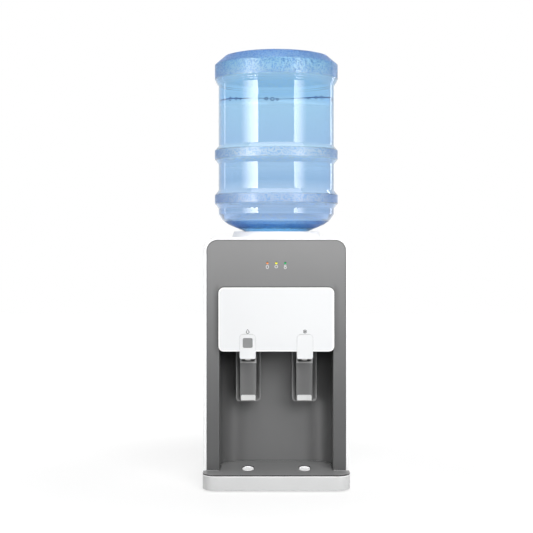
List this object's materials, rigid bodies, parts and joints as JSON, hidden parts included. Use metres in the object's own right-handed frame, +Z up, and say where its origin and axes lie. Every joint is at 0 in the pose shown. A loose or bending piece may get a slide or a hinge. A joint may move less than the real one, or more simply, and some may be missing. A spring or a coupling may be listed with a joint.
{
  "type": "countertop water dispenser",
  "caption": "Countertop bottled-water dispenser: white shell, grey front with a cup recess, paddle-lever taps, drip tray, status lamps and an inverted bottle.",
  "frame": {"origin": "on the table under the middle of the footprint", "axes": "+Z up, front towards -Y, +X to the right seen from the front"},
  "size_m": [0.302, 0.353, 0.916],
  "materials": {
    "white_shell": "satin",
    "grey_panel": "satin",
    "white_tray": "satin",
    "grey_tray_cover": "satin",
    "blue_bottle": "gloss",
    "white_fittings": "satin",
    "grey_button": "satin",
    "steel": "satin",
    "aluminium": "satin",
    "silicone": "matte",
    "black_rubber": "matte",
    "black_plastic": "satin",
    "foam": "matte",
    "board": "satin",
    "ceramic_module": "matte",
    "orange_lens": "gloss",
    "yellow_lens": "gloss",
    "green_lens": "gloss"
  },
  "bodies": {
    "cabinet": {"ambient_tube": "silicone", "base": "white_shell", "bottle_seat": "white_shell", "case_screws": "steel", "cold_block": "aluminium", "cold_tank": "steel", "cold_tube": "silicone", "control_board": "board", "cooling_module": "ceramic_module", "drain_spigot": "white_fittings", "drain_tube": "silicone", "fan_frame": "black_plastic", "feed_probe": "white_fittings", "foam_jacket": "foam", "front_cover": "white_shell", "front_panel": "grey_panel", "green_lamp": "green_lens", "heat_sink": "aluminium", "lamp_board": "board", "lamp_holder": "black_plastic", "left_bonnet": "white_fittings", "left_faucet_body": "white_fittings", "left_tap_housing": "grey_panel", "left_valve_spring": "steel", "lever_pins": "steel", "orange_lamp": "orange_lens", "power_inlet": "black_plastic", "power_supply": "black_plastic", "rear_panel": "white_tray", "recess_liner": "grey_panel", "reservoir": "white_fittings", "right_bonnet": "white_fittings", "right_faucet_body": "white_fittings", "right_tap_housing": "grey_panel", "right_valve_spring": "steel", "rubber_feet": "black_rubber", "shank_nuts": "white_fittings", "shell": "white_shell", "switch_housing": "black_plastic", "transfer_pipe": "white_fittings", "yellow_lamp": "yellow_lens"},
    "left_tap_lever": {"left_lever": "grey_panel", "left_lever_pad": "white_shell", "left_bumper": "white_fittings"},
    "right_tap_lever": {"right_lever": "grey_panel", "right_lever_pad": "white_shell", "right_bumper": "white_fittings"},
    "left_stem": {"left_valve_stem": "steel", "left_seat_cup": "silicone"},
    "right_stem": {"right_valve_stem": "steel", "right_seat_cup": "silicone"},
    "lock": {"lock_button": "grey_button"},
    "tray": {"drip_tray": "white_tray"},
    "tray_lid": {"tray_cover": "grey_tray_cover"},
    "water_bottle": {"bottle": "blue_bottle", "bottle_cap": "white_fittings"},
    "fan_wheel": {"fan_rotor": "black_plastic"},
    "rocker": {"switch_rocker": "black_plastic"},
    "drain_plug": {"drain_cap": "white_fittings"}
  },
  "joints": [
    {"name": "left_lever_press", "type": "hinge", "parent": "cabinet", "child": "left_tap_lever", "pos_m": [-0.059, -0.125, 0.328], "axis": [1, 0, 0], "range_deg": [0, 8], "stiffness_Nm_per_rad": 1, "springref_deg": -5.73},
    {"name": "left_stem_lift", "type": "slide", "parent": "cabinet", "child": "left_stem", "axis": [0, 0, 1], "range_m": [0, 0.0033], "deforming": ["left_valve_spring"]},
    {"name": "right_lever_press", "type": "hinge", "parent": "cabinet", "child": "right_tap_lever", "pos_m": [0.059, -0.125, 0.328], "axis": [1, 0, 0], "range_deg": [0, 8], "stiffness_Nm_per_rad": 1, "springref_deg": -5.73},
    {"name": "right_stem_lift", "type": "slide", "parent": "cabinet", "child": "right_stem", "axis": [0, 0, 1], "range_m": [0, 0.0033], "deforming": ["right_valve_spring"]},
    {"name": "lock_press", "type": "slide", "parent": "left_tap_lever", "child": "lock", "axis": [0, 1, 0], "range_m": [0, 0.002], "stiffness_N_per_m": 400, "springref_m": -0.002},
    {"name": "tray_slide", "type": "slide", "parent": "cabinet", "child": "tray", "axis": [0, -1, 0], "range_m": [0, 0.115]},
    {"name": "tray_cover_lift", "type": "slide", "parent": "tray", "child": "tray_lid", "axis": [0, 0, 1], "range_m": [0, 0.12]},
    {"name": "bottle_lift", "type": "slide", "parent": "cabinet", "child": "water_bottle", "axis": [0, 0, 1], "range_m": [0, 0.12]},
    {"name": "fan_spin", "type": "hinge", "parent": "cabinet", "child": "fan_wheel", "pos_m": [0, 0.155, 0.297], "axis": [0, 1, 0], "continuous": true},
    {"name": "rocker_tip", "type": "hinge", "parent": "cabinet", "child": "rocker", "pos_m": [0.095, 0.1675, 0.112], "axis": [1, 0, 0], "range_deg": [-20, 0]},
    {"name": "drain_cap_off", "type": "slide", "parent": "cabinet", "child": "drain_plug", "axis": [0, 1, 0], "range_m": [0, 0.02]}
  ],
  "couplings": [
    {"joint": "left_stem_lift", "follows": "left_lever_press", "m_per_rad": 0.0235},
    {"joint": "right_stem_lift", "follows": "right_lever_press", "m_per_rad": 0.0235}
  ]
}
